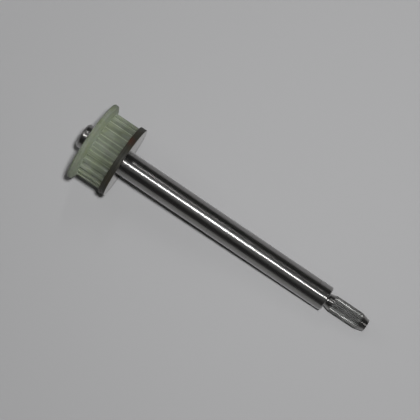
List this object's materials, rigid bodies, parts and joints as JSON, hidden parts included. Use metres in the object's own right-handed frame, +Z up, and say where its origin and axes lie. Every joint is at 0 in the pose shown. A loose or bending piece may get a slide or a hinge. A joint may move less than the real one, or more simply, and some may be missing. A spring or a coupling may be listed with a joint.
{
  "type": "food processor drive shaft",
  "caption": "Ground steel drive shaft with a moulded toothed belt pulley, a steel flange disc and a straight-knurled driving tip, lying on its pulley rim and shoulder.",
  "frame": {"origin": "middle of the bottom of the lying part's box, on the surface that it lies on", "axes": "+Z up; +X along the shaft's track on the table, from the pulley end to the knurled tip. The shaft's axis lies in the XZ plane and falls towards the tip, as the part rests on the pulley's rim and on the corner of the shoulder."},
  "size_m": [0.1802, 0.0458, 0.0457],
  "materials": {
    "ground_steel": "ground and polished, bright",
    "natural_nylon": "uncoloured moulded nylon, slightly translucent, grey green",
    "disc_steel": "turned steel, bright on its faces and dark brown and oily on its rim"
  },
  "bodies": {
    "root": {"shaft": "ground_steel", "belt_pulley": "natural_nylon", "flange_disc": "disc_steel"}
  },
  "joints": []
}
